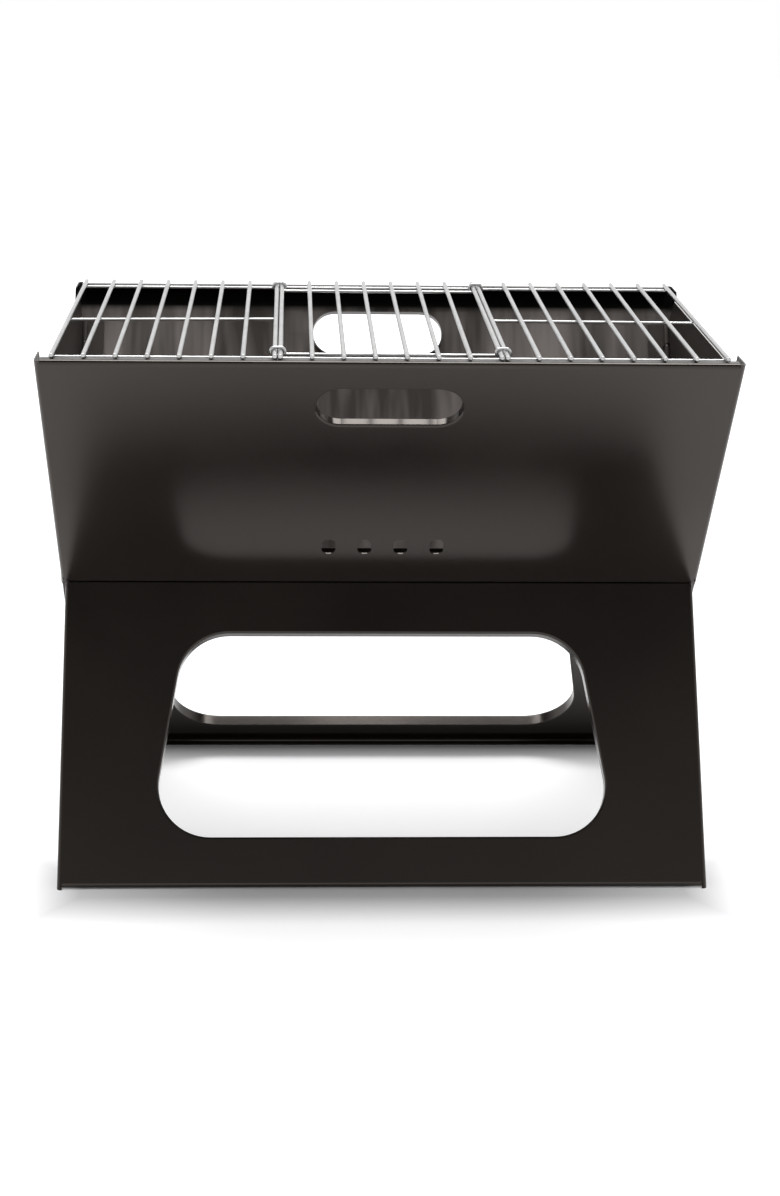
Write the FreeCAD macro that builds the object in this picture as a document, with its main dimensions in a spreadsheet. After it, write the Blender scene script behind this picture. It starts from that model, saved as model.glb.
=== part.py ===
"""Folding camp grill: two pressed-steel frames crossed like an X, hinged on two side pivots.

The outer frame is the front panel and the rear leg, the inner frame is the back panel and the front
leg. The two upper panels make a V-shaped firebox that a three-section wire grate covers.
Millimetres, +Z up, +X to the right of someone facing the front, origin on the floor under the middle.
"""
import FreeCAD, Part
import math
import os
import Sketcher

Vector = FreeCAD.Vector

DIMENSIONS = {
    # the two frames
    "body_width": 448.0,
    "sheet": 0.9,
    "cheek_depth": 24.0,
    "half_angle": 34.2,
    "upper_slant": 222.0,
    "lower_slant": 218.0,
    "bend_radius": 2.5,
    "frame_gap": 0.9,
    "crease_gap": 0.2,
    "panel_cheek": 23.0,
    "inner_cheek": 20.0,
    "leg_cheek": 20.0,
    "tongue_length": 26.0,
    "tongue_half": 8.0,
    "rim_depth": 11.0,
    "crease_lip": 3.5,
    "foot_depth": 8.0,
    "corner_relief": 2.6,
    # openings in the sheets
    "slot_width": 96.0,
    "slot_height": 35.4,
    "slot_centre": 180.2,
    "slot_lip": 6.0,
    "vent_width": 9.6,
    "vent_height": 15.4,
    "vent_pitch": 24.9,
    "vent_centre": 39.4,
    "window_start": 36.5,
    "window_end": 182.5,
    "window_narrow": 137.5,
    "window_wide": 161.3,
    "window_corner": 37.0,
    "window_lip": 9.0,
    "lip_round": 1.5,
    # pivots and rivets
    "pivot_radius": 3.0,
    "pivot_play": 0.06,
    "pivot_head": 6.0,
    "washer_sheet": 0.4,
    "rivet_radius": 2.0,
    "rivet_head": 3.6,
    "rivet_reach": 16.0,
    # end plates and their hinges
    "hinge_x": 214.6,
    "hinge_rise": 2.5,
    "rod_radius": 1.25,
    "barrel_bore": 1.31,
    "barrel_radius": 2.2,
    "leaf_width": 14.0,
    "plate_foot": 6.0,
    "plate_back": 2.6,
    "plate_floor": 11.7,
    "plate_drop": 4.0,
    "plate_rim_gap": 126.0,
    "plate_chamfer": 98.0,
    "plate_clearance": 1.5,
    "hem_height": 5.0,
    "hem_sheet": 1.8,
    # charcoal trough and grate
    "trough_radius": 10.3,
    "trough_round": 9.0,
    "trough_length": 410.0,
    "coal_length": 224.0,
    "coal_half": 19.5,
    "coal_rise": 10.0,
    "coal_edge": 5.0,
    # cooking grate
    "bar_radius": 1.5,
    "wire_radius": 1.1,
    "bar_pitch": 20.0,
    "bars_each": 8,
    "bar_reach": 133.0,
    "grate_rest": 0.3,
    "section_gap": 3.6,
    "end_wire": 123.8,
    "inner_wire": 112.0,
    "centre_end_wire": 125.0,
    "middle_skew": 6.0,
    "eye_station": 116.0,
}

doc = FreeCAD.newDocument("camp_grill")
sheet = doc.addObject("Spreadsheet::Sheet", "dims")
for row, (alias, number) in enumerate(DIMENSIONS.items(), start=1):
    sheet.set(f"A{row}", alias)
    sheet.set(f"B{row}", str(number))
    sheet.setAlias(f"B{row}", alias)
doc.recompute()

SIN = "sin(dims.half_angle)"
COS = "cos(dims.half_angle)"
TAN = "tan(dims.half_angle)"
PIVOT = "(dims.lower_slant * cos(dims.half_angle))"
CREASE = "(dims.cheek_depth / 2 * tan(dims.half_angle))"
FACE = "(0 - dims.cheek_depth / 2)"
OUTER = "(dims.body_width / 2)"
RIM = f"(dims.upper_slant * {COS})"
ALONG = 1000.0

PARTS = []


def value(expression):
    """The number that an expression over the sheet comes to."""
    return float(sheet.evalExpression(expression))


def keep(part, label):
    """Names a finished sub-part, whose label is its file's name."""
    part.Label = label
    PARTS.append(part)
    return part


# ---------------------------------------------------------------- sketches and features


def new_body(label, tilt=None):
    """An empty body at the pivot line. tilt is an expression for its turn."""
    body = doc.addObject("PartDesign::Body", label + "_body")
    turn = tilt or "rotation(vector(1; 0; 0); 0)"
    body.setExpression("Placement", f"placement(vector(0; 0; {PIVOT}); {turn})")
    return keep(body, label)


def new_sketch(body, plane, name, offset=None):
    """A sketch on one of the body's own planes, moved along its normal by an expression."""
    drawing = body.newObject("Sketcher::SketchObject", name)
    support = [item for item in body.Origin.OriginFeatures if item.Role == plane][0]
    drawing.AttachmentSupport = [(support, "")]
    drawing.MapMode = "FlatFace"
    if offset:
        drawing.setExpression(".AttachmentOffset.Base.z", offset)
    return drawing


def constrain(drawing, *terms, bound=None):
    """Adds one constraint, and binds its value to an expression."""
    number = drawing.addConstraint(Sketcher.Constraint(*terms))
    if bound:
        drawing.setExpression(f"Constraints[{number}]", bound)


def outline(drawing, corners):
    """Draws a closed outline of straight sides.

    Each corner is (across, up) or (across, up, radius), in expressions. A corner with a radius is
    rounded by an arc tangent to its two sides.
    """
    points = [Vector(value(corner[0]), value(corner[1]), 0) for corner in corners]
    radii = [value(corner[2]) if len(corner) > 2 else 0.0 for corner in corners]
    count = len(corners)
    arcs = [round_corner(points[i - 1], points[i], points[(i + 1) % count], radii[i]) for i in range(count)]
    sides = []
    for i in range(count):
        start = arcs[i][1]
        end = arcs[(i + 1) % count][0]
        sides.append(drawing.addGeometry(Part.LineSegment(start, end), False))
    for i, corner in enumerate(corners):
        before = sides[i - 1]
        after = sides[i]
        if radii[i] == 0.0:
            constrain(drawing, "Coincident", before, 2, after, 1)
            constrain(drawing, "DistanceX", -1, 1, after, 1, points[i].x, bound=corner[0])
            constrain(drawing, "DistanceY", -1, 1, after, 1, points[i].y, bound=corner[1])
            continue
        round_part = drawing.addGeometry(arcs[i][2], False)
        first, last = arc_ends(drawing.Geometry[round_part], arcs[i][0])
        tip = drawing.addGeometry(Part.Point(points[i]), True)
        constrain(drawing, "DistanceX", -1, 1, tip, 1, points[i].x, bound=corner[0])
        constrain(drawing, "DistanceY", -1, 1, tip, 1, points[i].y, bound=corner[1])
        constrain(drawing, "PointOnObject", tip, 1, before)
        constrain(drawing, "PointOnObject", tip, 1, after)
        constrain(drawing, "Tangent", before, 2, round_part, first)
        constrain(drawing, "Tangent", round_part, last, after, 1)
        constrain(drawing, "Radius", round_part, radii[i], bound=corner[2])


def round_corner(previous, corner, following, radius):
    """The two tangent points of a rounded corner, and its arc. A sharp corner gives itself twice."""
    if radius == 0.0:
        return corner, corner, None
    back = (previous - corner).normalize()
    ahead = (following - corner).normalize()
    half = back.getAngle(ahead) / 2
    reach = radius / math.tan(half)
    centre = corner + (back + ahead).normalize() * (radius / math.sin(half))
    start = corner + back * reach
    end = corner + ahead * reach
    first = math.atan2(start.y - centre.y, start.x - centre.x)
    last = math.atan2(end.y - centre.y, end.x - centre.x)
    if (last - first) % (2 * math.pi) > math.pi:
        first, last = last, first
    return start, end, Part.ArcOfCircle(Part.Circle(centre, Vector(0, 0, 1), radius), first, last)


def arc_ends(arc, start):
    """Which end of a sketch arc, 1 or 2, lies at start, and then the other."""
    if (arc.StartPoint - start).Length < (arc.EndPoint - start).Length:
        return 1, 2
    return 2, 1


def circle(drawing, across, up, radius):
    """Draws a circle whose place and radius are expressions."""
    centre = Vector(value(across), value(up), 0)
    ring = drawing.addGeometry(Part.Circle(centre, Vector(0, 0, 1), value(radius)), False)
    constrain(drawing, "DistanceX", -1, 1, ring, 3, centre.x, bound=across)
    constrain(drawing, "DistanceY", -1, 1, ring, 3, centre.y, bound=up)
    constrain(drawing, "Radius", ring, value(radius), bound=radius)


def pad(body, drawing, length, both_ways=False, backwards=False):
    """Adds the sketch's area, pulled along its normal."""
    feature = body.newObject("PartDesign::Pad", drawing.Name + "_pad")
    feature.Profile = drawing
    feature.setExpression("Length", length)
    feature.Midplane = both_ways
    feature.Reversed = backwards
    feature.Refine = True
    return feature


def pocket(body, drawing):
    """Cuts the sketch's area right through, both ways. A cut that takes nothing away is an error."""
    doc.recompute()
    before = body.Shape.Volume
    feature = body.newObject("PartDesign::Pocket", drawing.Name + "_cut")
    feature.Profile = drawing
    feature.Midplane = True
    feature.Length = 2 * ALONG
    feature.Refine = True
    doc.recompute()
    if body.Shape.Volume > before - 0.01:
        raise RuntimeError(f"{drawing.Name} cuts nothing")
    return feature


def box_outline(left, right, low, high, radius=None):
    """The four corners of an upright rectangle."""
    corners = [(left, low), (right, low), (right, high), (left, high)]
    if radius:
        corners = [(across, up, radius) for across, up in corners]
    return corners


# ---------------------------------------------------------------- pressed panels and legs
# Each is drawn upright in the same way: its outer face is at Y = FACE, its cheeks reach towards +Y,
# the pivot line is X at the origin, and the sheet runs away from the pivot along +Z from the crease.


def along(edge, level, depth_way, level_way):
    """A point of a bent-in lip: the sheet's end, plus a depth inwards and a rise."""
    depth = f"({depth_way})"
    rise = f"({level_way})"
    return (
        f"{FACE} + {depth} * {COS} + {rise} * {SIN}",
        f"{edge} + {level} - {depth} * {SIN} + {rise} * {COS}",
    )


def lip_outline(edge, depth, upwards, tail):
    """A level lip along a sheet's edge, with its bend and a short tail down the sheet.

    edge is the height of the edge on the outer face. With upwards the lip lies above the edge and its
    tail goes away from the pivot, otherwise it lies below and the tail comes back.
    """
    way = "" if upwards else "0 - "
    inner_turn = f"(dims.sheet * (1 - ({way}{SIN})) / {COS})" if upwards else f"(dims.sheet * (1 + {SIN}) / {COS})"
    thick = f"({way}dims.sheet)"
    tip = along(edge, "0", depth, "0")
    tip_far = along(edge, "0", depth, thick)
    inner = along(edge, "0", inner_turn, thick)
    end = f"{edge} + ({tail})" if upwards else f"{edge} - ({tail})"
    return [
        (FACE, edge, "dims.bend_radius" if not upwards else "dims.lip_round"),
        tip,
        tip_far,
        (inner[0], inner[1], "(dims.bend_radius - dims.sheet)" if not upwards else "(dims.lip_round - dims.sheet)"),
        (f"{FACE} + dims.sheet", end),
        (FACE, end),
    ]


def pressed_sheet(label, turn, half_width, length, cheek, end_lip):
    """A pressed sheet: a flat web with a cheek down each side, tongues past the pivot, and two lips."""
    body = new_body(label, turn)
    top = f"({CREASE} + {length})"
    bottom = f"({CREASE} + dims.crease_gap / {COS})"
    inside = f"({half_width} - dims.sheet)"

    channel = new_sketch(body, "XY_Plane", label + "_channel", "0 - dims.tongue_length - 1")
    outline(channel, [
        (f"0 - {half_width}", FACE, "dims.bend_radius"),
        (half_width, FACE, "dims.bend_radius"),
        (half_width, f"{FACE} + {cheek}"),
        (inside, f"{FACE} + {cheek}"),
        (inside, f"{FACE} + dims.sheet", "dims.bend_radius - dims.sheet"),
        (f"0 - {inside}", f"{FACE} + dims.sheet", "dims.bend_radius - dims.sheet"),
        (f"0 - {inside}", f"{FACE} + {cheek}"),
        (f"0 - {half_width}", f"{FACE} + {cheek}"),
    ])
    pad(body, channel, f"dims.tongue_length + 1 + {top}")

    level = new_sketch(body, "YZ_Plane", label + "_level_cut")
    reach = "(dims.cheek_depth + 20)"
    outline(level, [
        (f"{FACE} - 1", f"{top} + {TAN}"),
        (f"{FACE} + {reach}", f"{top} - {reach} * {TAN}"),
        (f"{FACE} + {reach}", f"{top} + 40"),
        (f"{FACE} - 1", f"{top} + 40"),
    ])
    pocket(body, level)

    throat = new_sketch(body, "XZ_Plane", label + "_throat")
    outline(throat, box_outline(f"0 - {inside}", inside, "0 - dims.tongue_length - 2", f"{bottom} + 4"))
    pocket(body, throat)

    tongue = new_sketch(body, "YZ_Plane", label + "_tongue_cut")
    below = "(0 - dims.tongue_length - 2)"
    half_tongue = "dims.tongue_half"
    outline(tongue, [
        (f"{FACE} - 1", f"{bottom} + {TAN}"),
        (f"0 - {half_tongue}", f"{bottom} - ({FACE} * (0 - 1) - {half_tongue}) * {TAN}"),
        (f"0 - {half_tongue}", "0 - dims.tongue_length", "6"),
        (half_tongue, "0 - dims.tongue_length", "6"),
        (half_tongue, f"{bottom} - ({half_tongue} - {FACE}) * {TAN}"),
        (f"{FACE} * (0 - 1) + 1", f"{bottom} - (1 - 2 * {FACE}) * {TAN}"),
        (f"{FACE} * (0 - 1) + 1", below),
        (f"{FACE} - 1", below),
    ])
    pocket(body, tongue)

    edge_strip = new_sketch(body, "XZ_Plane", label + "_edge_strip")
    lip_half = f"({inside} - dims.corner_relief)"
    outline(edge_strip, box_outline(f"0 - {lip_half}", lip_half, f"{top} - 8", f"{top} + 8"))
    pocket(body, edge_strip)

    end_side = new_sketch(body, "YZ_Plane", label + "_end_lip")
    outline(end_side, lip_outline(top, end_lip, False, "9"))
    pad(body, end_side, f"2 * {lip_half}", both_ways=True)

    crease_side = new_sketch(body, "YZ_Plane", label + "_crease_lip")
    outline(crease_side, lip_outline(bottom, "dims.crease_lip", True, "5"))
    pad(body, crease_side, f"2 * ({inside} - 1.1)", both_ways=True)

    holes = new_sketch(body, "YZ_Plane", label + "_holes")
    circle(holes, "0", "0", pivot_hole(half_width))
    for rise in ("dims.rivet_reach", "0 - dims.rivet_reach"):
        circle(holes, "0", rise, "dims.rivet_radius")
    pocket(body, holes)
    return body


def pivot_hole(half_width):
    """The pin is a tight fit in the outer frame and turns freely in the inner one."""
    if half_width in (FRONT_HALF, REAR_LEG_HALF):
        return "dims.pivot_radius"
    return "dims.pivot_radius + dims.pivot_play"


def rolled_opening(body, corners, inner_corners, lip, name):
    """An opening whose edge is turned inwards as a lip, rounded where it leaves the outer face."""
    hole = new_sketch(body, "XZ_Plane", name + "_hole")
    outline(hole, corners)
    pocket(body, hole)
    ring = new_sketch(body, "XZ_Plane", name + "_ring", f"0 - {FACE}")
    outline(ring, corners)
    outline(ring, inner_corners)
    pad(body, ring, lip, backwards=True)
    doc.recompute()
    ring_pad = body.Tip
    mouth = front_edges(ring_pad, inner_corners)
    rounded = body.newObject("PartDesign::Fillet", name + "_round")
    rounded.Base = (ring_pad, mouth)
    rounded.setExpression("Radius", "dims.lip_round")
    doc.recompute()
    return rounded


def front_edges(feature, inner_corners):
    """The edges of the outer face that run round an opening."""
    widest = max(abs(value(corner[0])) for corner in inner_corners) + 0.2
    lowest = min(value(corner[1]) for corner in inner_corners) - 0.2
    highest = max(value(corner[1]) for corner in inner_corners) + 0.2
    found = []
    for number, edge in enumerate(feature.Shape.Edges, start=1):
        box = edge.BoundBox
        flat = abs(box.YMin - value(FACE)) < 1e-4 and abs(box.YMax - value(FACE)) < 1e-4
        inside = abs(box.XMin) < widest and abs(box.XMax) < widest
        between = box.ZMin > lowest and box.ZMax < highest
        if flat and inside and between:
            found.append(f"Edge{number}")
    return found


def handle_slot(body, name):
    """The obround handle slot near a panel's rim."""
    half = "dims.slot_width / 2"
    low = f"{CREASE} + dims.slot_centre - dims.slot_height / 2"
    high = f"{CREASE} + dims.slot_centre + dims.slot_height / 2"
    radius = "(dims.slot_height / 2 - 0.8)"
    cut = box_outline(f"0 - {half}", half, low, high, radius)
    inner = box_outline(
        f"0 - {half} + dims.sheet",
        f"{half} - dims.sheet",
        f"{low} + dims.sheet",
        f"{high} - dims.sheet",
        f"({radius} - dims.sheet)",
    )
    rolled_opening(body, cut, inner, "dims.slot_lip", name)


def leg_window(body, name):
    """The leg's window: a rounded trapezium, wider towards the foot."""
    slope = "((dims.window_wide - dims.window_narrow) / (dims.window_end - dims.window_start))"
    inset = "dims.sheet"
    side = f"(dims.sheet * sqrt(1 + {slope} * {slope}))"
    start = f"({CREASE} + dims.window_start)"
    end = f"({CREASE} + dims.window_end)"

    def trapezium(margin, side_margin, radius):
        narrow = f"(dims.window_narrow - {side_margin} + {slope} * {margin})"
        wide = f"(dims.window_wide - {side_margin} - {slope} * {margin})"
        return [
            (f"0 - {narrow}", f"{start} + {margin}", radius),
            (narrow, f"{start} + {margin}", radius),
            (wide, f"{end} - {margin}", radius),
            (f"0 - {wide}", f"{end} - {margin}", radius),
        ]

    cut = trapezium("0", "0", "dims.window_corner")
    inner = trapezium(inset, side, "(dims.window_corner - dims.sheet)")
    rolled_opening(body, cut, inner, "dims.window_lip", name)


def air_vents(body):
    """Four upright obround vents low in the front panel."""
    first = "(dims.vent_pitch * 1.5)"
    vent = new_sketch(body, "XZ_Plane", "vent")
    low = f"{CREASE} + dims.vent_centre - dims.vent_height / 2"
    high = f"{CREASE} + dims.vent_centre + dims.vent_height / 2"
    outline(vent, box_outline(
        f"0 - {first} - dims.vent_width / 2",
        f"0 - {first} + dims.vent_width / 2",
        low,
        high,
        "(dims.vent_width / 2 - 0.4)",
    ))
    cut = pocket(body, vent)
    row_of_vents = body.newObject("PartDesign::LinearPattern", "vent_row")
    row_of_vents.Originals = [cut]
    row_of_vents.Direction = (vent, ["H_Axis"])
    row_of_vents.setExpression("Length", "dims.vent_pitch * 3")
    row_of_vents.Occurrences = 4
    body.Tip = row_of_vents
    doc.recompute()


LEAN_FORWARD = "rotation(vector(1; 0; 0); dims.half_angle)"
LEAN_BACK = "rotation(vector(1; 0; 0); 0 - dims.half_angle)"
FRONT_HALF = OUTER
REAR_LEG_HALF = f"({OUTER} - dims.sheet)"
FRONT_LEG_HALF = f"({OUTER} - 2 * dims.sheet - dims.frame_gap)"
BACK_HALF = f"({OUTER} - 3 * dims.sheet - dims.frame_gap)"

front_panel = pressed_sheet(
    "front_panel", LEAN_FORWARD, FRONT_HALF, "dims.upper_slant", "dims.panel_cheek", "dims.rim_depth"
)
handle_slot(front_panel, "front_slot")
air_vents(front_panel)

back_panel = pressed_sheet(
    "back_panel",
    f"{LEAN_BACK} * rotation(vector(0; 0; 1); 180)",
    BACK_HALF,
    "dims.upper_slant",
    "dims.inner_cheek",
    "dims.rim_depth",
)
handle_slot(back_panel, "back_slot")

front_leg = pressed_sheet(
    "front_leg",
    f"{LEAN_BACK} * rotation(vector(0; 1; 0); 180)",
    FRONT_LEG_HALF,
    "dims.lower_slant",
    "dims.leg_cheek",
    "dims.foot_depth",
)
leg_window(front_leg, "front_window")

rear_leg = pressed_sheet(
    "rear_leg",
    f"{LEAN_FORWARD} * rotation(vector(1; 0; 0); 180)",
    REAR_LEG_HALF,
    "dims.lower_slant",
    "dims.leg_cheek",
    "dims.foot_depth",
)
leg_window(rear_leg, "rear_window")

# ---------------------------------------------------------------- pivots, washers and rivets
# Groups of identical fasteners, each turned from its side profile about the X axis.


def turned(profile, x_sign, centre):
    """Turns a (distance along X, radius) profile about a line along X. x_sign mirrors it."""
    points = [Vector(x_sign * along_x, radius, 0) for along_x, radius in profile]
    wire = Part.makePolygon(points + [points[0]])
    solid = Part.Face(wire).revolve(Vector(0, 0, 0), Vector(1, 0, 0), 360)
    solid.translate(centre)
    return solid


def fastener_group(label, solids):
    """Puts a group of separate solids into one named object."""
    group = doc.addObject("Part::Feature", label + "_group")
    group.Shape = Part.makeCompound(solids)
    group.Placement = FreeCAD.Placement()
    return keep(group, label)


def domed_head(start, radius, height):
    """The profile of a domed head: an arc of eight short steps from its rim to its top."""
    steps = 8
    angles = [math.pi / 2 * step / steps for step in range(steps)]
    ring = [(start + height * (0.3 + 0.7 * math.sin(a)), radius * math.cos(a)) for a in angles]
    return [(start, radius)] + ring + [(start + height, 0.0)]


pivot_centre = Vector(0, 0, value(PIVOT))
outer_face = value(OUTER)
thin = value("dims.sheet")
back_inner = value(BACK_HALF) - thin
pin_radius = value("dims.pivot_radius")

pin_profile = (
    [(back_inner - 1.1, 0.0), (back_inner - 1.1, 4.4), (back_inner - 0.2, 5.0), (back_inner - 0.2, pin_radius)]
    + [(outer_face + 0.02, pin_radius)]
    + domed_head(outer_face + 0.02, value("dims.pivot_head"), 2.0)
)
fastener_group("pivot_pins", [turned(pin_profile, side, pivot_centre) for side in (1, -1)])

washer_inner = value(f"{FRONT_LEG_HALF} + (dims.frame_gap - dims.washer_sheet) / 2")
washer_outer = washer_inner + value("dims.washer_sheet")
washer_bore = pin_radius + value("dims.pivot_play")
washer_profile = [
    (washer_inner, washer_bore),
    (washer_outer, washer_bore),
    (washer_outer, 6.5),
    (washer_inner, 6.5),
]
fastener_group("pivot_washers", [turned(washer_profile, side, pivot_centre) for side in (1, -1)])

rivet_radius = value("dims.rivet_radius")
rivet_head = value("dims.rivet_head")
reach = value("dims.rivet_reach")
lean = math.radians(value("dims.half_angle"))

outer_profile = [(outer_face - 2 * thin + 0.05, 0.0), (outer_face - 2 * thin + 0.05, rivet_radius)]
outer_profile += [(outer_face + 0.02, rivet_radius)] + domed_head(outer_face + 0.02, rivet_head, 1.2)
inner_outside = value(FRONT_LEG_HALF) - 0.05
inner_profile = [(inner_outside, 0.0), (inner_outside, rivet_radius), (back_inner - 0.02, rivet_radius)]
inner_profile += [(back_inner - 0.02, rivet_head), (back_inner - 0.3, rivet_head)]
inner_profile += [(back_inner - 0.7, rivet_head - 0.8), (back_inner - 0.7, 0.0)]


def rivet_centres(lean_sign):
    """Two rivets a side, above and below the pivot along the leaning frame."""
    up = Vector(0, -lean_sign * math.sin(lean), math.cos(lean)) * reach
    return [pivot_centre + up, pivot_centre - up]


fastener_group(
    "outer_frame_rivets",
    [turned(outer_profile, side, centre) for side in (1, -1) for centre in rivet_centres(1)],
)
fastener_group(
    "inner_frame_rivets",
    [turned(inner_profile, side, centre) for side in (1, -1) for centre in rivet_centres(-1)],
)

# ---------------------------------------------------------------- end plates and their hinges
# Drawn in the back panel's own leaning frame: Y is square to the panel, Z runs up it.

HINGE_Y = "(dims.cheek_depth / 2 - dims.sheet - dims.hinge_rise)"
PLATE_TOP = f"({RIM} - dims.plate_drop)"
BARRELS = ((60.0, 40.0), (140.0, 40.0))
KNUCKLES = ((24.0, 34.0), (102.0, 36.0), (182.0, 16.0))
ROD_FOOT = 23.0
ROD_HEAD = 198.0


def leaning(across, up):
    """A level place (across, up) from the pivot line, in the back panel's leaning frame."""
    return (f"({across}) * {COS} - ({up}) * {SIN}", f"({across}) * {SIN} + ({up}) * {COS}")


def front_edge(slant):
    """Where the plate's front edge, just inside the front panel, crosses a height in the leaning frame."""
    inside = "(0 - dims.cheek_depth / 2 + dims.sheet + dims.plate_clearance)"
    return f"({inside} - ({slant}) * sin(2 * dims.half_angle)) / cos(2 * dims.half_angle)"


def notch_foot():
    """The level height at which the front edge reaches the line that passes inside the rim."""
    return f"(dims.plate_rim_gap - (dims.cheek_depth / 2 - dims.sheet - dims.plate_clearance) / {COS}) / {TAN}"


def tube(body, name, x_place, start, length, radius, bore=None):
    """A barrel about the hinge line: from a height, for a length."""
    drawing = new_sketch(body, "XY_Plane", name, f"{start}")
    circle(drawing, x_place, HINGE_Y, radius)
    if bore:
        circle(drawing, x_place, HINGE_Y, bore)
    pad(body, drawing, f"{length}")


def end_plate(label, side):
    """A sheet that closes one end of the firebox, with a hem along its top and two hinge barrels."""
    body = new_body(label, LEAN_BACK)
    outer = "(dims.hinge_x + dims.barrel_radius)"
    inner = f"({outer} - dims.sheet)"
    low_x = inner if side > 0 else f"(0 - {outer})"
    hem_x = inner if side > 0 else f"(0 - {inner} - dims.hem_sheet)"
    back = f"({HINGE_Y} - dims.plate_back)"
    floor_slant = f"({back} * {SIN} + dims.plate_floor) / {COS}"
    floor_turn = f"({back} - ({floor_slant} - dims.plate_foot) / {TAN})"
    corner = leaning("0 - dims.plate_rim_gap", PLATE_TOP)
    notch = leaning("0 - dims.plate_rim_gap", notch_foot())
    shoulder = leaning("dims.plate_chamfer", PLATE_TOP)
    hinge_top = f"{ROD_HEAD}"

    face = new_sketch(body, "YZ_Plane", label + "_face", low_x)
    outline(face, [
        (back, floor_slant),
        (floor_turn, "dims.plate_foot", "4"),
        (front_edge("dims.plate_foot"), "dims.plate_foot", "4"),
        notch,
        corner,
        shoulder,
        (back, hinge_top, "2"),
    ])
    pad(body, face, "dims.sheet")

    hem = new_sketch(body, "YZ_Plane", label + "_hem", hem_x)
    outline(hem, [
        leaning("0 - dims.plate_rim_gap + 2", PLATE_TOP),
        leaning("dims.plate_chamfer - 2", PLATE_TOP),
        leaning("dims.plate_chamfer - 2", f"{PLATE_TOP} - dims.hem_height"),
        leaning("0 - dims.plate_rim_gap + 2", f"{PLATE_TOP} - dims.hem_height"),
    ])
    pad(body, hem, "dims.hem_sheet")

    centre_x = "dims.hinge_x" if side > 0 else "0 - dims.hinge_x"
    for number, (start, length) in enumerate(BARRELS):
        tab = new_sketch(body, "YZ_Plane", f"{label}_tab_{number}", low_x)
        outline(tab, box_outline(f"{back} - 1", HINGE_Y, f"{start}", f"{start + length}"))
        pad(body, tab, "dims.sheet")
        tube(body, f"{label}_barrel_{number}", centre_x, start, length, "dims.barrel_radius", "dims.barrel_bore")
    doc.recompute()
    return body


def hinge_leaf(label, side):
    """A strip on the back panel with three knuckles round the hinge rod."""
    body = new_body(label, LEAN_BACK)
    centre_x = "dims.hinge_x" if side > 0 else "0 - dims.hinge_x"
    far_x = "(dims.hinge_x - dims.leaf_width)" if side > 0 else "(dims.leaf_width - dims.hinge_x)"
    left, right = (far_x, centre_x) if side > 0 else (centre_x, far_x)
    strip = new_sketch(body, "XY_Plane", label + "_strip", f"{KNUCKLES[0][0]}")
    top = KNUCKLES[-1][0] + KNUCKLES[-1][1]
    outline(strip, box_outline(
        left, right, f"{HINGE_Y} + dims.barrel_radius - dims.sheet", f"{HINGE_Y} + dims.barrel_radius"
    ))
    pad(body, strip, f"{top - KNUCKLES[0][0]}")
    for number, (start, length) in enumerate(KNUCKLES):
        tube(body, f"{label}_knuckle_{number}", centre_x, start, length, "dims.barrel_radius")
    for number, (start, length) in enumerate(BARRELS):
        gap = new_sketch(body, "XZ_Plane", f"{label}_gap_{number}")
        clear_in = "(dims.hinge_x - dims.plate_back - 0.4)"
        clear_out = "(dims.hinge_x + dims.barrel_radius + 1)"
        near, far = (clear_in, clear_out) if side > 0 else (f"0 - {clear_out}", f"0 - {clear_in}")
        outline(gap, box_outline(near, far, f"{start - 1}", f"{start + length + 1}"))
        pocket(body, gap)
    bore = new_sketch(body, "XY_Plane", label + "_bore")
    circle(bore, centre_x, HINGE_Y, "dims.barrel_bore")
    pocket(body, bore)
    return body


def hinge_rod(label, side):
    """The rod that the barrels and knuckles turn on."""
    body = new_body(label, LEAN_BACK)
    centre_x = "dims.hinge_x" if side > 0 else "0 - dims.hinge_x"
    tube(body, label + "_round", centre_x, ROD_FOOT, ROD_HEAD - ROD_FOOT, "dims.rod_radius")
    return body


for name, side in (("left", -1), ("right", 1)):
    end_plate(name + "_end_plate", side)
    hinge_leaf(name + "_hinge_leaf", side)
    hinge_rod(name + "_hinge_rod", side)

# ---------------------------------------------------------------- ash trough and charcoal grate
# Level bodies at the pivot line.

trough = new_body("ash_trough")
trough_side = new_sketch(trough, "YZ_Plane", "trough_side")
shelf = "(dims.crease_gap + dims.sheet + 0.05)"
outline(trough_side, [
    ("0 - dims.trough_radius - 3.2", f"{shelf} + dims.sheet"),
    ("0 - dims.trough_radius + dims.sheet", f"{shelf} + dims.sheet"),
    ("0 - dims.trough_radius + dims.sheet", "0 - dims.trough_radius + dims.sheet", "dims.trough_round"),
    ("dims.trough_radius - dims.sheet", "0 - dims.trough_radius + dims.sheet", "dims.trough_round"),
    ("dims.trough_radius - dims.sheet", "0"),
    ("dims.trough_radius", "0"),
    ("dims.trough_radius", "0 - dims.trough_radius", "dims.trough_round + dims.sheet"),
    ("0 - dims.trough_radius", "0 - dims.trough_radius", "dims.trough_round + dims.sheet"),
    ("0 - dims.trough_radius", shelf),
    ("0 - dims.trough_radius - 3.2", shelf),
])
pad(trough, trough_side, "dims.trough_length", both_ways=True)
doc.recompute()

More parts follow.
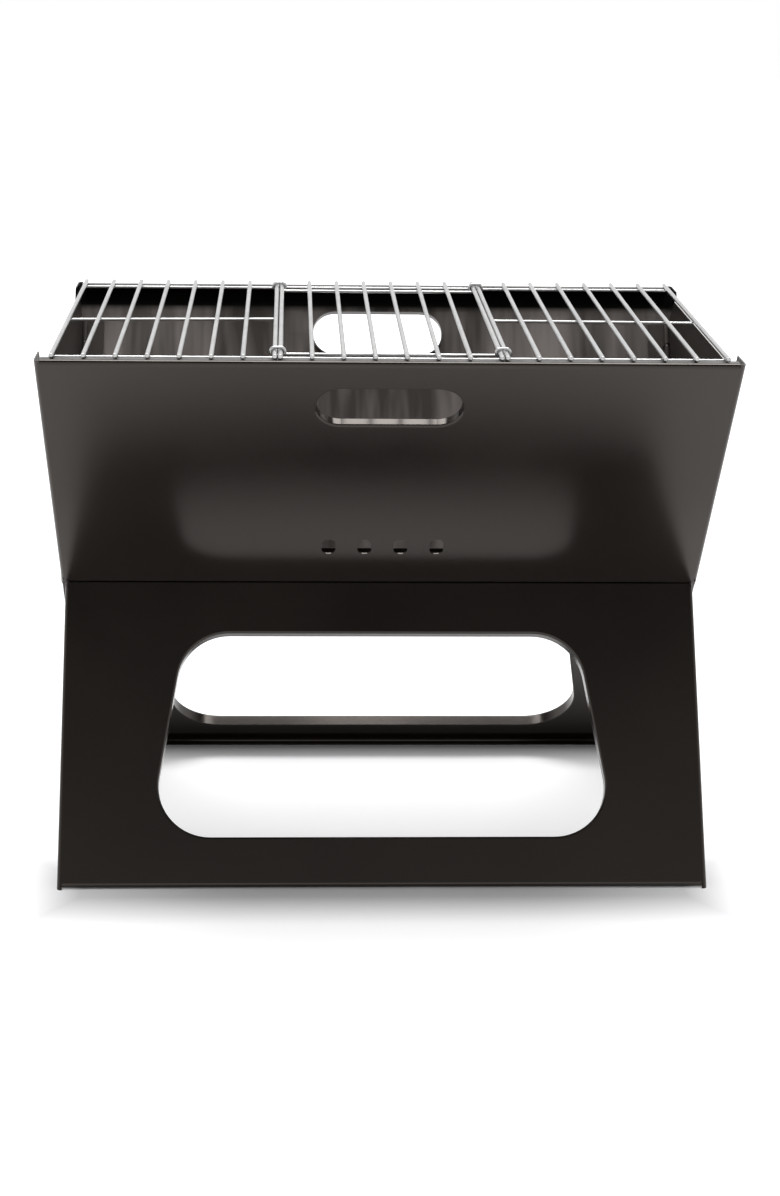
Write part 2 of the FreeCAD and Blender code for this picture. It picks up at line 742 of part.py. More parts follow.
coal = new_body("charcoal_grate")
coal_side = new_sketch(coal, "YZ_Plane", "coal_side")
outline(coal_side, [
    ("0 - dims.coal_half", "dims.coal_rise + dims.coal_edge"),
    ("0 - dims.coal_half", "dims.coal_rise"),
    ("dims.coal_half", "dims.coal_rise"),
    ("dims.coal_half", "dims.coal_rise + dims.coal_edge"),
    ("dims.coal_half - dims.sheet", "dims.coal_rise + dims.coal_edge"),
    ("dims.coal_half - dims.sheet", "dims.coal_rise + dims.sheet"),
    ("0 - dims.coal_half + dims.sheet", "dims.coal_rise + dims.sheet"),
    ("0 - dims.coal_half + dims.sheet", "dims.coal_rise + dims.coal_edge"),
])
pad(coal, coal_side, "dims.coal_length", both_ways=True)
slots = new_sketch(coal, "XY_Plane", "coal_slot")
outline(slots, box_outline(
    "0 - dims.coal_length / 2 + 9", "0 - dims.coal_length / 2 + 14", "-13", "13", "2.2"
))
coal_cut = pocket(coal, slots)
slot_row = coal.newObject("PartDesign::LinearPattern", "coal_slot_row")
slot_row.Originals = [coal_cut]
slot_row.Direction = (slots, ["H_Axis"])
slot_row.setExpression("Length", "dims.coal_length - 23")
slot_row.Occurrences = 17
coal.Tip = slot_row
doc.recompute()

# ---------------------------------------------------------------- cooking grate
# Bars run front to back and rest on both rims. Thin cross wires lie under them, inside the rims.

BAR_Z = f"({PIVOT} + {RIM} + dims.grate_rest + dims.bar_radius)"
WIRE_Z = f"({BAR_Z} - dims.bar_radius - dims.wire_radius + 0.05)"
SECTION = "(dims.bar_pitch * (dims.bars_each - 1))"
CENTRE_EDGE = f"({SECTION} / 2)"
OUTER_EDGE = f"({CENTRE_EDGE} + dims.section_gap)"


def rod(name, radius, length, place, turn):
    """A straight round rod from a place, bound to the sheet."""
    cylinder = doc.addObject("Part::Cylinder", name)
    cylinder.setExpression("Radius", radius)
    cylinder.setExpression("Height", length)
    x_place, y_place, z_place = place
    cylinder.setExpression(
        "Placement", f"placement(vector({x_place}; {y_place}; {z_place}); rotation(vector({turn[0]}); {turn[1]}))"
    )
    return cylinder


def compound(label, members):
    """One named object made of several separate rods."""
    group = doc.addObject("Part::Compound", label + "_group")
    group.Links = members
    return keep(group, label)


def bars(label, first_x):
    """Eight bars, one pitch apart, from first_x to the right."""
    members = []
    for number in range(int(value("dims.bars_each"))):
        x_place = f"({first_x}) + {number} * dims.bar_pitch"
        place = (x_place, "dims.bar_reach", BAR_Z)
        members.append(rod(f"{label}_{number}", "dims.bar_radius", "2 * dims.bar_reach", place, ("1; 0; 0", "90")))
    return compound(label, members)


def wires(label, first_x, stations):
    """Cross wires under eight bars. Each station is a depth and how far the wire's right end leans back."""
    members = []
    for number, (depth, skew) in enumerate(stations):
        length = f"sqrt({SECTION} * {SECTION} + ({skew}) * ({skew}))"
        start = f"({depth}) - ({skew}) / 2"
        turn = ("0; 1; 0", "90")
        wire = rod(f"{label}_{number}", "dims.wire_radius", length, (first_x, start, WIRE_Z), turn)
        wire.setExpression(
            "Placement",
            f"placement(vector({first_x}; {start}; {WIRE_Z}); "
            f"rotation(vector(0; 0; 1); atan(({skew}) / {SECTION})) * rotation(vector(0; 1; 0); 90))",
        )
        members.append(wire)
    return compound(label, members)


left_first = f"0 - {OUTER_EDGE} - {SECTION}"
bars("left_grate_bars", left_first)
wires("left_grate_wires", left_first, [
    ("dims.end_wire", "0"),
    ("1", "dims.middle_skew"),
    ("0 - dims.end_wire", "0"),
])
bars("centre_grate_bars", f"0 - {CENTRE_EDGE}")
wires("centre_grate_wires", f"0 - {CENTRE_EDGE}", [
    ("dims.centre_end_wire", "0"),
    ("dims.inner_wire", "0"),
    ("0 - dims.inner_wire", "0"),
    ("0 - dims.centre_end_wire", "0"),
])
bars("right_grate_bars", OUTER_EDGE)
wires("right_grate_wires", OUTER_EDGE, [
    ("dims.end_wire", "0"),
    ("1", "0 - dims.middle_skew / 2"),
    ("0 - dims.end_wire", "0"),
])


def hinge_eye(middle_x, station):
    """A closed wire loop round the two edge bars of neighbouring sections."""
    loop = value("dims.bar_radius + dims.wire_radius") + 0.08
    half_gap = value("dims.section_gap") / 2
    height = value(BAR_Z)

    def place(across, up):
        return Vector(middle_x + across, station, height + up)

    path = Part.Wire([
        Part.LineSegment(place(-half_gap, loop), place(half_gap, loop)).toShape(),
        Part.Arc(place(half_gap, loop), place(half_gap + loop, 0), place(half_gap, -loop)).toShape(),
        Part.LineSegment(place(half_gap, -loop), place(-half_gap, -loop)).toShape(),
        Part.Arc(place(-half_gap, -loop), place(-half_gap - loop, 0), place(-half_gap, loop)).toShape(),
    ])
    section = Part.Wire(Part.makeCircle(value("dims.wire_radius"), place(-half_gap, loop), Vector(1, 0, 0)))
    return path.makePipeShell([section], True, True)


hinge_middle = value(f"{CENTRE_EDGE} + dims.section_gap / 2")
eye_station = value("dims.eye_station")
for name, side in (("left", -1), ("right", 1)):
    eyes = [hinge_eye(side * hinge_middle, station) for station in (-eye_station, eye_station)]
    fastener_group(name + "_hinge_eyes", eyes)

# ---------------------------------------------------------------- checks and files

doc.recompute()
for item in doc.Objects:
    if "Invalid" in item.State or "Error" in item.State:
        raise RuntimeError(f"{item.Name} failed: {item.State}")
for item in PARTS:
    if item.Shape.isNull() or not item.Shape.isValid() or not item.Shape.Solids:
        raise RuntimeError(f"{item.Label} has no valid solid")

os.makedirs("parts", exist_ok=True)
for item in PARTS:
    item.Shape.exportStep(f"parts/{item.Label}.step")
    print(item.Label, len(item.Shape.Solids), round(item.Shape.Volume))
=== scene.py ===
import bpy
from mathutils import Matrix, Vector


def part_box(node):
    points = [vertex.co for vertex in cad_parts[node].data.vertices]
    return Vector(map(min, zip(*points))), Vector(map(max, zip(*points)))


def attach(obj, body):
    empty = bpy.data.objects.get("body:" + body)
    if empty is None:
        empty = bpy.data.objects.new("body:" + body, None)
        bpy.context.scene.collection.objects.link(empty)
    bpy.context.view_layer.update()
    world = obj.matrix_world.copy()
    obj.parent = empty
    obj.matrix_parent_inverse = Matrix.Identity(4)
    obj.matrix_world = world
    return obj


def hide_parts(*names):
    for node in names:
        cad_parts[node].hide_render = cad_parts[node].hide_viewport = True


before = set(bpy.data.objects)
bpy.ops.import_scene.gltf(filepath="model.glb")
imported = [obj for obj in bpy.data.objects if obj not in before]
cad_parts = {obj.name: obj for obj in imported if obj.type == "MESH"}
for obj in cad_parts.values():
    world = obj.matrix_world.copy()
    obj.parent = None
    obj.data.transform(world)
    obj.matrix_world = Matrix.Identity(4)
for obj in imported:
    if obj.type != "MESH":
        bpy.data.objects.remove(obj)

"""Looks for a folding camp grill: warm black heat-proof paint on pressed steel, bright plated wire
for the cooking grate, and plain steel pins. Metres, +Z up, +X to the right of someone at the front.

The pressed sheets keep their shape and get a finish. The grate is drawn afresh as round wire with
deburred ends, spot welds and closed hinge eyes.
"""
import math

import bpy
import numpy as np
from mathutils import Matrix, Vector

bpy.context.view_layer.update()

# ---------------------------------------------------------------- sizes

HALF_ANGLE = math.radians(34.2)
BAR_RADIUS = 0.0015
WIRE_RADIUS = 0.0011
BARS_EACH = 8
EYE_CLEARANCE = 0.00008
WELD_SINK = 0.00005

RIM_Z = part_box("front_panel")[1].z


# ---------------------------------------------------------------- surfaces


def piece(name, vertices, quads, material, body, triangles=()):
    """A smooth mesh from arrays of points and faces, with a finish, riding on a body."""
    mesh = bpy.data.meshes.new(name)
    mesh.from_pydata(vertices.tolist(), [], quads.tolist() + [list(face) for face in triangles])
    mesh.polygons.foreach_set("use_smooth", np.ones(len(mesh.polygons), bool))
    mesh.update()
    made = bpy.data.objects.new(name, mesh)
    bpy.context.scene.collection.objects.link(made)
    made.data.materials.append(material)
    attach(made, body)
    return made


def grid_faces(rows, columns, rows_closed=False):
    """Quads of a grid of points that is closed across its columns, and along its rows if asked."""
    row = np.arange(rows if rows_closed else rows - 1)[:, None]
    column = np.arange(columns)[None, :]
    after = (row + 1) % rows
    beside = (column + 1) % columns
    here = row * columns
    there = after * columns
    corners = (here + column, here + beside, there + beside, there + column)
    return np.stack(np.broadcast_arrays(*corners), -1).reshape(-1, 4)


def tube(path, radii, sides, closed=False):
    """A round tube along a path of points, as points and quads.

    At each path point p with tangent t, the ring is p + r (cos a  u + sin a  w), where u and w are
    square to t. u is the one fixed direction that the path never follows, made square to t.
    """
    path = np.asarray(path, float)
    if closed:
        tangent = np.roll(path, -1, 0) - np.roll(path, 1, 0)
    else:
        tangent = np.gradient(path, axis=0)
    tangent /= np.linalg.norm(tangent, axis=1)[:, None]
    spread = np.ptp(path, axis=0)
    aside = np.eye(3)[int(np.argmin(spread))]
    first = aside - (tangent @ aside)[:, None] * tangent
    first /= np.linalg.norm(first, axis=1)[:, None]
    second = np.cross(tangent, first)
    angle = np.linspace(0, 2 * math.pi, sides, endpoint=False)
    radii = np.broadcast_to(np.asarray(radii, float), len(path))
    ring = np.cos(angle)[None, :, None] * first[:, None, :] + np.sin(angle)[None, :, None] * second[:, None, :]
    points = path[:, None, :] + radii[:, None, None] * ring
    return points.reshape(-1, 3), grid_faces(len(path), sides, closed)


def rod(start, end, radius, sides=24, burr=0.35):
    """A straight rod with softly rounded ends, as points, quads and the two end fans.

    Along the rod the radius is r near the middle. Over the last burr * r it falls as a quarter
    ellipse: r * sqrt(1 - (1 - x)^2) for x from 0 at the tip to 1 at the shoulder, and a flat disc of
    half the radius closes the tip.
    """
    start = np.asarray(start, float)
    end = np.asarray(end, float)
    length = np.linalg.norm(end - start)
    shoulder = np.linspace(0, 1, 6)
    profile = radius * (0.55 + 0.45 * np.sqrt(1 - (1 - shoulder) ** 2))
    near = shoulder * burr * radius / length
    middle = np.linspace(near[-1], 1 - near[-1], 10)[1:-1]
    places = np.concatenate([near, middle, 1 - near[::-1]])
    radii = np.concatenate([profile, np.full(len(middle), radius), profile[::-1]])
    path = start + places[:, None] * (end - start)
    points, quads = tube(path, radii, sides)
    last = len(points) - sides
    caps = [tuple(range(sides))[::-1], tuple(range(last, last + sides))]
    return points, quads, caps


def joined(shapes):
    """Several shapes of points, quads and caps put together as one."""
    points = []
    quads = []
    caps = []
    count = 0
    for shape_points, shape_quads, shape_caps in shapes:
        points.append(shape_points)
        quads.append(shape_quads + count)
        caps += [tuple(corner + count for corner in cap) for cap in shape_caps]
        count += len(shape_points)
    return np.concatenate(points), np.concatenate(quads), caps


def weld_beads(centres, size, sides=12, rings=7):
    """Small flattened beads where wires are welded, one at each centre.

    A bead is an ellipsoid: (a cos u cos v, b cos u sin v, c sin u), with size (a, b, c). It stops short of its
    poles, and each end ring is closed by one flat face.
    """
    centres = np.asarray(centres, float)
    lift = np.linspace(-math.pi / 2, math.pi / 2, rings + 2)[1:-1]
    turn = np.linspace(0, 2 * math.pi, sides, endpoint=False)
    lift_grid, turn_grid = np.meshgrid(lift, turn, indexing="ij")
    level = np.cos(lift_grid)
    shape = np.stack([level * np.cos(turn_grid), level * np.sin(turn_grid), np.sin(lift_grid)], -1)
    shape = shape.reshape(-1, 3) * np.asarray(size)
    faces = grid_faces(rings, sides)
    bottom = tuple(range(sides))[::-1]
    top = tuple(range((rings - 1) * sides, rings * sides))
    return joined([(shape + centre, faces, [bottom, top]) for centre in centres])


# ---------------------------------------------------------------- finishes


def nodes_of(material):
    """A material's node tree, its shader and helpers to add and join nodes."""
    material.use_nodes = True
    tree = material.node_tree
    shader = tree.nodes["Principled BSDF"]

    def add(kind, **settings):
        node = tree.nodes.new(kind)
        for key, setting in settings.items():
            setattr(node, key, setting)
        return node

    return tree, shader, add


def noise(tree, add, vector, scale, detail=4.0, stretch=(1, 1, 1), roughness=0.5):
    """A noise pattern of so many lumps a metre, stretched along the axes."""
    mapping = add("ShaderNodeMapping")
    mapping.inputs["Scale"].default_value = stretch
    pattern = add("ShaderNodeTexNoise")
    pattern.inputs["Scale"].default_value = scale
    pattern.inputs["Detail"].default_value = detail
    pattern.inputs["Roughness"].default_value = roughness
    tree.links.new(vector, mapping.inputs["Vector"])
    tree.links.new(mapping.outputs["Vector"], pattern.inputs["Vector"])
    return pattern.outputs["Fac"]


def ramp(tree, add, factor, low, high, low_place=0.3, high_place=0.7):
    """Turns a 0 to 1 pattern into a value or colour between low and high."""
    bend = add("ShaderNodeMapRange")
    bend.inputs["From Min"].default_value = low_place
    bend.inputs["From Max"].default_value = high_place
    bend.inputs["To Min"].default_value = low
    bend.inputs["To Max"].default_value = high
    tree.links.new(factor, bend.inputs["Value"])
    return bend.outputs["Result"]


def blend_colours(tree, add, factor, first, second):
    """A mix of two colours, each a fixed colour or another socket, by a 0 to 1 factor."""
    mix = add("ShaderNodeMix", data_type="RGBA")
    sockets = [socket for socket in mix.inputs if socket.type == "RGBA"]
    for socket, colour in zip(sockets, (first, second)):
        if isinstance(colour, tuple):
            socket.default_value = (*colour, 1.0)
        else:
            tree.links.new(colour, socket)
    tree.links.new(factor, mix.inputs["Factor"])
    return [socket for socket in mix.outputs if socket.type == "RGBA"][0]


def bump(tree, add, shader, pattern, depth, strength):
    """Lets a pattern stand proud by so many metres."""
    relief = add("ShaderNodeBump")
    relief.inputs["Distance"].default_value = depth
    relief.inputs["Strength"].default_value = strength
    tree.links.new(pattern, relief.inputs["Height"])
    tree.links.new(relief.outputs["Normal"], shader.inputs["Normal"])


def heat_proof_paint(name, dark, light, sheen_low, sheen_high, grain):
    """Warm black baked paint: two close tones, cloudy gloss and a fine orange-peel relief."""
    material = bpy.data.materials.new(name)
    tree, shader, add = nodes_of(material)
    place = add("ShaderNodeTexCoord").outputs["Object"]
    clouds = noise(tree, add, place, 9.0, 5.0)
    specks = noise(tree, add, place, 2600.0, 2.0)
    tone = blend_colours(tree, add, ramp(tree, add, clouds, 0.0, 1.0), dark, light)
    flecked = ramp(tree, add, specks, 0.0, 0.35, 0.62, 0.80)
    fleck = blend_colours(tree, add, flecked, tone, tuple(3 * c for c in light))
    tree.links.new(fleck, shader.inputs["Base Color"])
    tree.links.new(ramp(tree, add, clouds, sheen_low, sheen_high), shader.inputs["Roughness"])
    peel = noise(tree, add, place, 1400.0, 2.0)
    bump(tree, add, shader, peel, grain, 0.35)
    shader.inputs["Specular IOR Level"].default_value = 0.60
    shader.inputs["Specular Tint"].default_value = (1.0, 0.90, 0.83, 1.0)
    return material


def plated_wire(name, colour, dull_colour):
    """Bright plated wire: fine drawing lines along the wire, and a faint cloudiness in the plating."""
    material = bpy.data.materials.new(name)
    tree, shader, add = nodes_of(material)
    place = add("ShaderNodeTexCoord").outputs["Object"]
    drawn = noise(tree, add, place, 900.0, 3.0, stretch=(1, 0.03, 1))
    clouds = noise(tree, add, place, 45.0, 4.0)
    tone = blend_colours(tree, add, ramp(tree, add, clouds, 0.0, 1.0), dull_colour, colour)
    tree.links.new(tone, shader.inputs["Base Color"])
    tree.links.new(ramp(tree, add, clouds, 0.42, 0.32), shader.inputs["Roughness"])
    bump(tree, add, shader, drawn, 0.00003, 0.3)
    shader.inputs["Metallic"].default_value = 1.0
    return material


def plain_steel(name, colour):
    """Turned or drawn steel with fine lines round it and a slightly tarnished tone."""
    material = bpy.data.materials.new(name)
    tree, shader, add = nodes_of(material)
    place = add("ShaderNodeTexCoord").outputs["Object"]
    lines = noise(tree, add, place, 1500.0, 3.0, stretch=(1, 0.1, 0.1))
    clouds = noise(tree, add, place, 120.0, 4.0)
    dark = tuple(0.6 * c for c in colour)
    tone = blend_colours(tree, add, ramp(tree, add, clouds, 0.0, 1.0), dark, colour)
    tree.links.new(tone, shader.inputs["Base Color"])
    tree.links.new(ramp(tree, add, clouds, 0.45, 0.28), shader.inputs["Roughness"])
    bump(tree, add, shader, lines, 0.00003, 0.3)
    shader.inputs["Metallic"].default_value = 1.0
    return material


def hemmed_paint(name, dark, light, hem):
    """The paint of an end plate, with a pale painted highlight where it faces straight up along the hem."""
    material = heat_proof_paint(name, dark, light, 0.34, 0.44, 0.00002)
    tree, shader, add = nodes_of(material)
    coordinates = add("ShaderNodeTexCoord")
    split = add("ShaderNodeSeparateXYZ")
    tree.links.new(coordinates.outputs["Normal"], split.inputs["Vector"])
    # Faces that point straight up get a painted highlight in the pale hem tone.
    hem_highlight = ramp(tree, add, split.outputs["Z"], 0.0, 1.0, 0.80, 0.95)
    painted = shader.inputs["Base Color"].links[0].from_socket
    tree.links.new(blend_colours(tree, add, hem_highlight, painted, hem), shader.inputs["Base Color"])
    return material


def firebox_paint(name, dark, light, streak, inner_side):
    """The paint of a panel whose inner side faces the fire: that side is duller, dusty and streaked with
    painted shadow.

    inner_side is the direction, in the object's own axes, that the inner side faces. Painted shadow streaks
    run up and down the sheet, a few centimetres apart, and a band of painted shade, black and matt, sits under
    the rim.
    """
    material = heat_proof_paint(name, dark, light, 0.16, 0.21, 0.00002)
    tree, shader, add = nodes_of(material)
    coordinates = add("ShaderNodeTexCoord")
    facing = add("ShaderNodeVectorMath", operation="DOT_PRODUCT")
    facing.inputs[1].default_value = inner_side
    tree.links.new(coordinates.outputs["Normal"], facing.inputs[0])
    inside = ramp(tree, add, facing.outputs["Value"], 0.0, 1.0, 0.4, 0.8)
    # The inner side mixes the dust tone with painted shadow streaks of the grate bars, running up and down the
    # sheet.
    bar_shadow_streaks = noise(tree, add, coordinates.outputs["Object"], 38.0, 3.0, stretch=(1, 0.12, 0.12), roughness=0.6)
    painted = shader.inputs["Base Color"].links[0].from_socket
    dust_and_bar_shadow = blend_colours(tree, add, ramp(tree, add, bar_shadow_streaks, 0.0, 1.0, 0.38, 0.66), dark, streak)
    tree.links.new(blend_colours(tree, add, inside, painted, dust_and_bar_shadow), shader.inputs["Base Color"])
    gloss = shader.inputs["Roughness"].links[0].from_socket
    mix = add("ShaderNodeMix", data_type="FLOAT")
    tree.links.new(inside, mix.inputs[0])
    tree.links.new(gloss, mix.inputs[2])
    tree.links.new(ramp(tree, add, bar_shadow_streaks, 0.52, 0.40), mix.inputs[3])
    tree.links.new(mix.outputs[0], shader.inputs["Roughness"])
    # Painted shade: a black, matt band with its reflection turned down lies on the inner side just under the
    # rim.
    split = add("ShaderNodeSeparateXYZ")
    tree.links.new(coordinates.outputs["Object"], split.inputs["Vector"])
    under_rim = ramp(tree, add, split.outputs["Z"], 0.0, 1.0, RIM_Z - RIM_SHADE_DEPTH - 0.004, RIM_Z - RIM_SHADE_DEPTH)
    rim_shade = add("ShaderNodeMath", operation="MULTIPLY")
    tree.links.new(under_rim, rim_shade.inputs[0])
    tree.links.new(inside, rim_shade.inputs[1])
    unshaded = shader.inputs["Base Color"].links[0].from_socket
    rim_shaded = blend_colours(tree, add, rim_shade.outputs["Value"], unshaded, RIM_SHADE_BLACK)
    tree.links.new(rim_shaded, shader.inputs["Base Color"])
    rim_shade_specular = ramp(tree, add, rim_shade.outputs["Value"], 0.60, 0.04, 0.0, 1.0)
    tree.links.new(rim_shade_specular, shader.inputs["Specular IOR Level"])
    return material


SIN = math.sin(HALF_ANGLE)
COS = math.cos(HALF_ANGLE)
WARM_BLACK = (0.0032, 0.0022, 0.0016)
WARM_BLACK_LIGHT = (0.0056, 0.0041, 0.0032)
# The painted shade under the rim: its black and how far below the rim it reaches.
RIM_SHADE_BLACK = (0.0012, 0.0011, 0.0010)
RIM_SHADE_DEPTH = 0.0145
PLATE_BLACK = (0.0150, 0.0125, 0.0115)
PLATE_BLACK_LIGHT = (0.0230, 0.0200, 0.0185)
# Light grey painted into the hinge leaves as a painted highlight on their barrels.
LEAF_HIGHLIGHT_GREY = (0.060, 0.054, 0.051)
# Pale tone of the painted highlight along the end plates' top hem.
HEM_HIGHLIGHT = (0.42, 0.41, 0.40)
DUSTY_BLACK = (0.165, 0.148, 0.141)

leg_paint = heat_proof_paint("leg_paint", WARM_BLACK, WARM_BLACK_LIGHT, 0.17, 0.23, 0.00002)
fitting_paint = heat_proof_paint("fitting_paint", WARM_BLACK, WARM_BLACK_LIGHT, 0.26, 0.34, 0.00002)
front_paint = firebox_paint("front_panel_paint", WARM_BLACK, WARM_BLACK_LIGHT, DUSTY_BLACK, (0, COS, SIN))
back_paint = firebox_paint("back_panel_paint", WARM_BLACK, WARM_BLACK_LIGHT, DUSTY_BLACK, (0, -COS, SIN))
plate_paint = hemmed_paint("end_plate_paint", PLATE_BLACK, PLATE_BLACK_LIGHT, HEM_HIGHLIGHT)
# The hinge leaves carry a painted highlight: their paint is lightened with a pale grey.
leaf_highlight_paint = heat_proof_paint("hinge_leaf_highlight_paint", PLATE_BLACK_LIGHT, LEAF_HIGHLIGHT_GREY, 0.24, 0.32, 0.00002)
chrome = plated_wire("chrome_plate", (0.60, 0.60, 0.595), (0.48, 0.48, 0.48))
steel = plain_steel("plain_steel_lines", (0.48, 0.47, 0.45))

FINISHES = {
    "front_panel": front_paint,
    "back_panel": back_paint,
    "front_leg": leg_paint,
    "rear_leg": leg_paint,
    "left_end_plate": plate_paint,
    "right_end_plate": plate_paint,
    "left_hinge_leaf": leaf_highlight_paint,
    "right_hinge_leaf": leaf_highlight_paint,
    "ash_trough": fitting_paint,
    "charcoal_grate": fitting_paint,
    "outer_frame_rivets": fitting_paint,
    "inner_frame_rivets": fitting_paint,
    "pivot_pins": steel,
    "pivot_washers": steel,
    "left_hinge_rod": steel,
    "right_hinge_rod": steel,
}
for node_name, finish in FINISHES.items():
    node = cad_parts[node_name]
    for material_slot in node.material_slots:
        material_slot.material = finish

# ---------------------------------------------------------------- the cooking grate
# Each section is eight bars from front to back, with thin cross wires welded under them.


def section_bars(name, body):
    """The bars of a section, drawn where its frame has them."""
    low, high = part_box(name)
    stations = np.linspace(low.x + BAR_RADIUS, high.x - BAR_RADIUS, BARS_EACH)
    height = (low.z + high.z) / 2
    bars = [rod((x, low.y, height), (x, high.y, height), BAR_RADIUS) for x in stations]
    points, quads, caps = joined(bars)
    made = piece(name + "_wire", points, quads, chrome, body, caps)
    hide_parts(name)
    return stations, height


def section_wires(name, body, stations, height, depths):
    """A section's cross wires, each from its depth at the left end to its depth at the right end."""
    low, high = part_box(name)
    level = height - BAR_RADIUS - WIRE_RADIUS + WELD_SINK
    wires = [rod((low.x, left, level), (high.x, right, level), WIRE_RADIUS, sides=20) for left, right in depths]
    points, quads, caps = joined(wires)
    made = piece(name + "_wire", points, quads, chrome, body, caps)
    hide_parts(name)
    width = high.x - low.x
    centres = [
        (x, left + (right - left) * (x - low.x) / width, level + WIRE_RADIUS * 0.9)
        for left, right in depths
        for x in stations
    ]
    points, quads, caps = weld_beads(centres, (0.00125, 0.00135, 0.00055))
    piece(name.replace("_wires", "_welds"), points, quads, chrome, body, caps)


def hinge_eyes(name, height):
    """Closed wire eyes round the edge bars of two neighbouring sections.

    The eye's line is an obround: half a circle about each bar, joined by straight runs. With the loop's
    angle a, it is (g sign(cos a) + r cos a, r sin a), where g is half the gap between the bars.
    """
    low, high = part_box(name)
    loop = BAR_RADIUS + WIRE_RADIUS + EYE_CLEARANCE
    middle = (low.x + high.x) / 2
    half_gap = (high.x - low.x) / 2 - loop - WIRE_RADIUS
    angle = np.linspace(0, 2 * math.pi, 48, endpoint=False) + math.pi / 48
    across = middle + half_gap * np.sign(np.cos(angle)) + loop * np.cos(angle)
    up = height + loop * np.sin(angle)
    shapes = []
    for station in (low.y + WIRE_RADIUS, high.y - WIRE_RADIUS):
        path = np.stack([across, np.full_like(across, station), up], -1)
        points, quads = tube(path, WIRE_RADIUS, 18, closed=True)
        shapes.append((points, quads, []))
    points, quads, caps = joined(shapes)
    made = piece(name + "_wire", points, quads, chrome, "centre_grate", caps)
    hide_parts(name)


END_WIRE = 0.1238
MIDDLE = 0.001
LEAN = 0.003
left_stations, BAR_Z = section_bars("left_grate_bars", "left_grate")
centre_stations, _ = section_bars("centre_grate_bars", "centre_grate")
right_stations, _ = section_bars("right_grate_bars", "right_grate")
section_wires(
    "left_grate_wires",
    "left_grate",
    left_stations,
    BAR_Z,
    [(END_WIRE, END_WIRE), (MIDDLE - LEAN, MIDDLE + LEAN), (-END_WIRE, -END_WIRE)],
)
section_wires(
    "centre_grate_wires",
    "centre_grate",
    centre_stations,
    BAR_Z,
    [(0.125, 0.125), (0.112, 0.112), (-0.112, -0.112), (-0.125, -0.125)],
)
section_wires(
    "right_grate_wires",
    "right_grate",
    right_stations,
    BAR_Z,
    [(END_WIRE, END_WIRE), (MIDDLE + LEAN / 2, MIDDLE - LEAN / 2), (-END_WIRE, -END_WIRE)],
)
hinge_eyes("left_hinge_eyes", BAR_Z)
hinge_eyes("right_hinge_eyes", BAR_Z)

# ---------------------------------------------------------------- floor, light and camera


def floor_material():
    """A pale matt floor that also gives off light, except in a strip at each foot.

    The strips set how wide the shadow at the feet looks. The glow under the middle, beyond the feet and
    in the distance keeps the rest of the floor white.
    """
    material = bpy.data.materials.new("pale_floor")
    tree, shader, add = nodes_of(material)
    place = add("ShaderNodeTexCoord").outputs["Object"]
    clouds = noise(tree, add, place, 1.5, 2.0)
    tone = blend_colours(tree, add, ramp(tree, add, clouds, 0.0, 1.0), (0.64, 0.64, 0.65), (0.67, 0.67, 0.68))
    tree.links.new(tone, shader.inputs["Base Color"])
    distance = add("ShaderNodeVectorMath", operation="LENGTH")
    tree.links.new(place, distance.inputs[0])
    outer = ramp(tree, add, distance.outputs["Value"], 0.0, 1.0, 0.5, 2.0)
    split = add("ShaderNodeSeparateXYZ")
    tree.links.new(place, split.inputs["Vector"])
    depth = add("ShaderNodeMath", operation="ABSOLUTE")
    tree.links.new(split.outputs["Y"], depth.inputs[0])
    aside = add("ShaderNodeMath", operation="ABSOLUTE")
    tree.links.new(split.outputs["X"], aside.inputs[0])
    inner = ramp(tree, add, depth.outputs["Value"], 0.62, 0.0, 0.075, 0.125)
    ahead = ramp(tree, add, depth.outputs["Value"], 0.0, 0.45, 0.148, 0.190)
    beside = ramp(tree, add, aside.outputs["Value"], 0.0, 0.45, 0.205, 0.238)
    glow = inner
    for part in (ahead, beside, outer):
        larger = add("ShaderNodeMath", operation="MAXIMUM")
        tree.links.new(glow, larger.inputs[0])
        tree.links.new(part, larger.inputs[1])
        glow = larger.outputs["Value"]
    tree.links.new(glow, shader.inputs["Emission Strength"])
    shader.inputs["Emission Color"].default_value = (1.0, 1.0, 1.0, 1.0)
    shader.inputs["Roughness"].default_value = 0.9
    shader.inputs["Specular IOR Level"].default_value = 0.1
    return material


def pale_floor(reach):
    """A flat square floor just under the feet."""
    mesh = bpy.data.meshes.new("floor")
    corners = [(-reach, -reach, 0), (reach, -reach, 0), (reach, reach, 0), (-reach, reach, 0)]
    mesh.from_pydata(corners, [], [(0, 1, 2, 3)])
    mesh.materials.append(floor_material())
    made = bpy.data.objects.new("floor", mesh)
    bpy.context.scene.collection.objects.link(made)


def soft_light(name, place, aim, width, depth, power):
    """A soft box that shines from a place towards an aim."""
    lamp = bpy.data.lights.new(name, "AREA")
    lamp.shape = "RECTANGLE"
    lamp.size = width
    lamp.size_y = depth
    lamp.energy = power
    made = bpy.data.objects.new(name, lamp)
    made.location = place
    direction = Vector(aim) - Vector(place)
    made.rotation_euler = direction.to_track_quat("-Z", "Y").to_euler()
    bpy.context.scene.collection.objects.link(made)


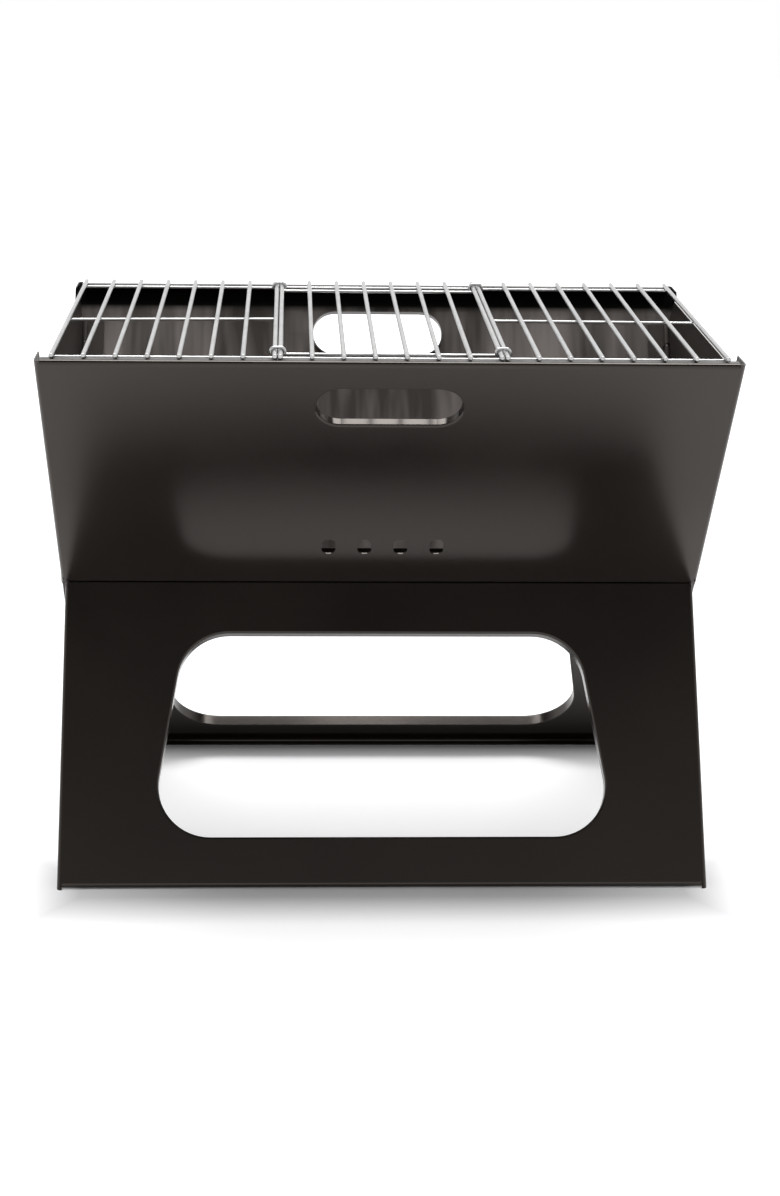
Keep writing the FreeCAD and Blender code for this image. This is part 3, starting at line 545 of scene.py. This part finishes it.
def studio_sky(level_brightness, high_brightness):
    """A white surround up to 27 degrees above level, fading to nearly black by 53 degrees.

    The dark upper part keeps the reflections in the legs low, and the soft box lights from above.
    """
    world = bpy.data.worlds.new("studio")
    bpy.context.scene.world = world
    world.use_nodes = True
    tree = world.node_tree
    background = tree.nodes["Background"]
    coordinates = tree.nodes.new("ShaderNodeTexCoord")
    split = tree.nodes.new("ShaderNodeSeparateXYZ")
    fade = tree.nodes.new("ShaderNodeMapRange")
    fade.inputs["From Min"].default_value = 0.45
    fade.inputs["From Max"].default_value = 0.80
    fade.inputs["To Min"].default_value = level_brightness
    fade.inputs["To Max"].default_value = high_brightness
    tree.links.new(coordinates.outputs["Generated"], split.inputs["Vector"])
    tree.links.new(split.outputs["Z"], fade.inputs["Value"])
    tree.links.new(fade.outputs["Result"], background.inputs["Strength"])
    background.inputs["Color"].default_value = (1.0, 1.0, 1.0, 1.0)


def place_camera():
    """The camera in front of the grill, a little to its left, looking down by about 19 degrees."""
    camera = bpy.data.cameras.new("camera")
    camera.sensor_fit = "AUTO"
    camera.sensor_width = 36.0
    camera.lens = 68.26
    camera.shift_x = 0.0077
    camera.shift_y = 0.0326
    camera.clip_end = 50.0
    made = bpy.data.objects.new("camera", camera)
    yaw = math.radians(2.394)
    pitch = math.radians(18.908)
    roll = math.radians(0.855)
    forward = Vector((math.sin(yaw) * math.cos(pitch), math.cos(yaw) * math.cos(pitch), -math.sin(pitch)))
    right = Vector((math.cos(yaw), -math.sin(yaw), 0))
    up = right.cross(forward)
    turned_right = math.cos(roll) * right + math.sin(roll) * up
    turned_up = math.cos(roll) * up - math.sin(roll) * right
    axes = Matrix((turned_right, turned_up, -forward)).transposed().to_4x4()
    made.matrix_world = Matrix.Translation((-0.06304, -1.53831, 0.66181)) @ axes
    bpy.context.scene.collection.objects.link(made)
    bpy.context.scene.camera = made


pale_floor(6.0)
soft_light("overhead", (0.0, 0.5, 2.4), (0.0, 0.5, 0.0), 2.4, 1.4, 88.0)
studio_sky(1.0, 0.02)
bpy.context.scene.view_settings.view_transform = "Standard"
place_camera()

bpy.context.view_layer.update()
